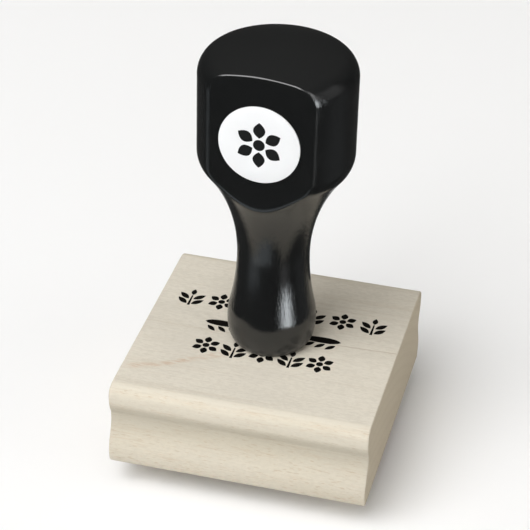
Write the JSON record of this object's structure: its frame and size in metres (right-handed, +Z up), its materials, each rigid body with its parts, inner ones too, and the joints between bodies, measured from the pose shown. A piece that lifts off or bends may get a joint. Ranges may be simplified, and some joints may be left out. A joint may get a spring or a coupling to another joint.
{
  "type": "rubber stamp",
  "caption": "Hand stamp: relief rubber die on a foam cushion under a moulded wood mount, with a turned black knob handle that has a flat, labelled front.",
  "frame": {"origin": "centre of the printing face, on the surface that the stamp stands on", "axes": "+Z up along the handle, +X along the mount's moulding, -Y to the front, where the handle's flat and label face within 3 degrees"},
  "size_m": [0.055, 0.0564, 0.0943],
  "materials": {
    "maple": "sanded, unfinished",
    "black_lacquer": "gloss black lacquer on turned wood",
    "steel": "zinc-plated",
    "white_vinyl": "satin vinyl label",
    "black_ink": "flat printed ink",
    "adhesive": "translucent adhesive film",
    "foam": "closed-cell foam",
    "die_rubber": "vulcanised rubber, matt"
  },
  "bodies": {
    "mount": {"wood_mount": "maple", "handle": "black_lacquer", "handle_screw": "steel", "handle_label": "white_vinyl", "mount_film": "adhesive"},
    "die": {"foam_cushion": "foam", "die_film": "adhesive", "rubber_die": "die_rubber"}
  },
  "joints": [
    {"name": "die_press", "type": "slide", "parent": "mount", "child": "die", "axis": [0, 0, 1], "range_m": [0, 0.0008], "stiffness_N_per_m": 10000, "springref_m": -0.0001, "deforming": ["foam_cushion"]}
  ]
}
